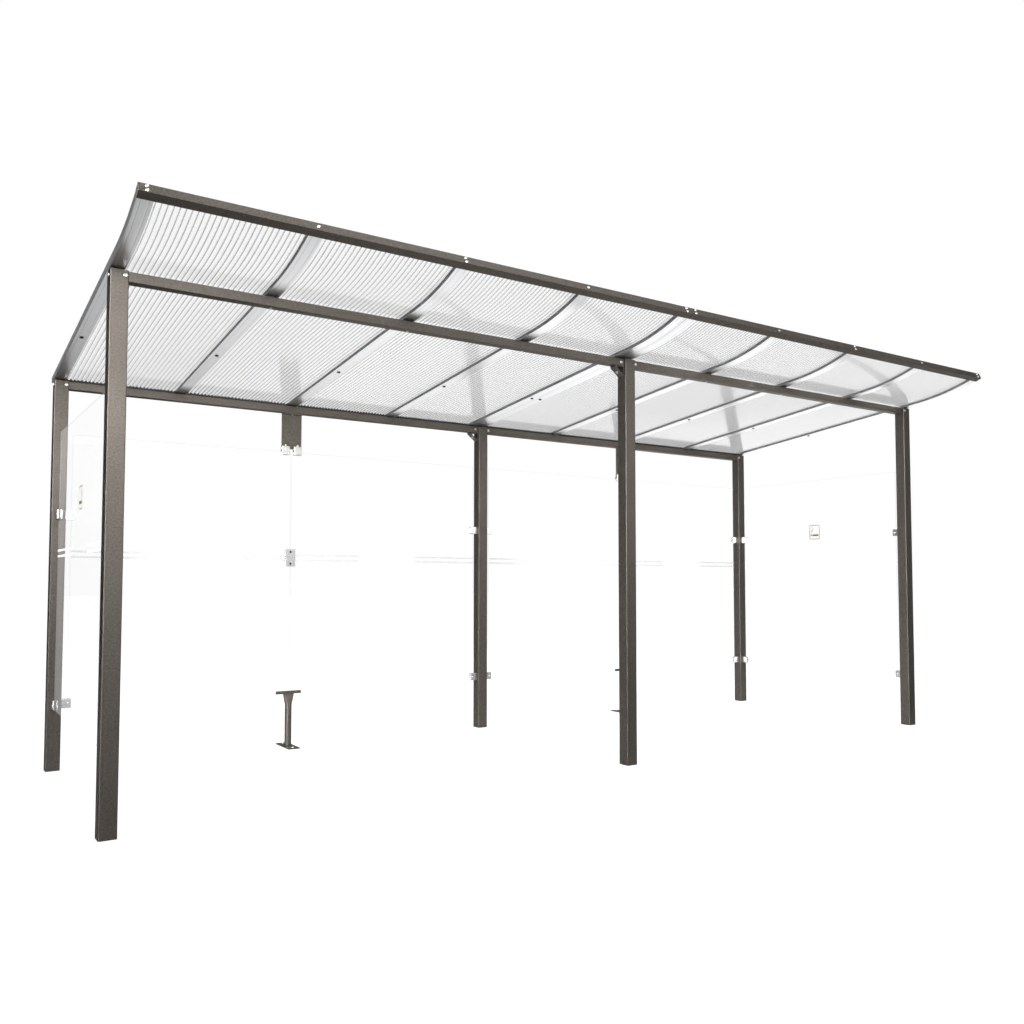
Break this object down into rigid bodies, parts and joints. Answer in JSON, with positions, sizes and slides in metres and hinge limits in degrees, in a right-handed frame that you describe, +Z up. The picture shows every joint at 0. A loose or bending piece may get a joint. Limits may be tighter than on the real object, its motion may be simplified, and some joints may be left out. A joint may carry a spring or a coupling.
{
  "type": "smoking shelter",
  "caption": "Open-fronted smoking shelter on square posts, with glass screens at the rear and ends and a clear multiwall roof that curls up at the front.",
  "frame": {"origin": "centre of the shelter's plan at ground level", "axes": "+X along the length to the right as seen from the open front, +Y to the rear, +Z up"},
  "size_m": [5.008, 2.072, 2.2456],
  "materials": {
    "bronze_paint": "textured grey-brown powder coat",
    "bar_aluminium": "satin anodised",
    "rubber_pad": "matte black rubber",
    "multiwall_sheet": "clear multiwall sheet, glossy",
    "clear_glass": "clear toughened glass",
    "stainless": "satin stainless steel"
  },
  "bodies": {
    "root": {"post_front_left": "bronze_paint", "post_front_middle": "bronze_paint", "post_front_right": "bronze_paint", "post_rear_left": "bronze_paint", "post_rear_middle": "bronze_paint", "post_rear_right": "bronze_paint", "heads_front": "bronze_paint", "heads_rear": "bronze_paint", "purlin_front_left": "bronze_paint", "purlin_front_right": "bronze_paint", "purlin_rear_left": "bronze_paint", "purlin_rear_right": "bronze_paint", "knee_brackets": "bronze_paint", "seat_pads": "rubber_pad", "bars_left": "bar_aluminium", "bars_right": "bar_aluminium", "sheet_left_1": "multiwall_sheet", "sheet_left_2": "multiwall_sheet", "sheet_left_3": "multiwall_sheet", "sheet_left_4": "multiwall_sheet", "sheet_right_1": "multiwall_sheet", "sheet_right_2": "multiwall_sheet", "sheet_right_3": "multiwall_sheet", "sheet_right_4": "multiwall_sheet", "front_beam_left": "bronze_paint", "front_beam_right": "bronze_paint", "glass_end_left": "clear_glass", "glass_end_right": "clear_glass", "glass_rear_1": "clear_glass", "glass_rear_2": "clear_glass", "glass_rear_3": "clear_glass", "glass_rear_4": "clear_glass", "clamps_lower": "stainless", "clamps_upper": "stainless", "hangers": "bronze_paint", "hanger_clamps": "stainless", "joint_plates": "stainless", "stand_left": "bronze_paint", "stand_right": "bronze_paint"}
  },
  "joints": []
}
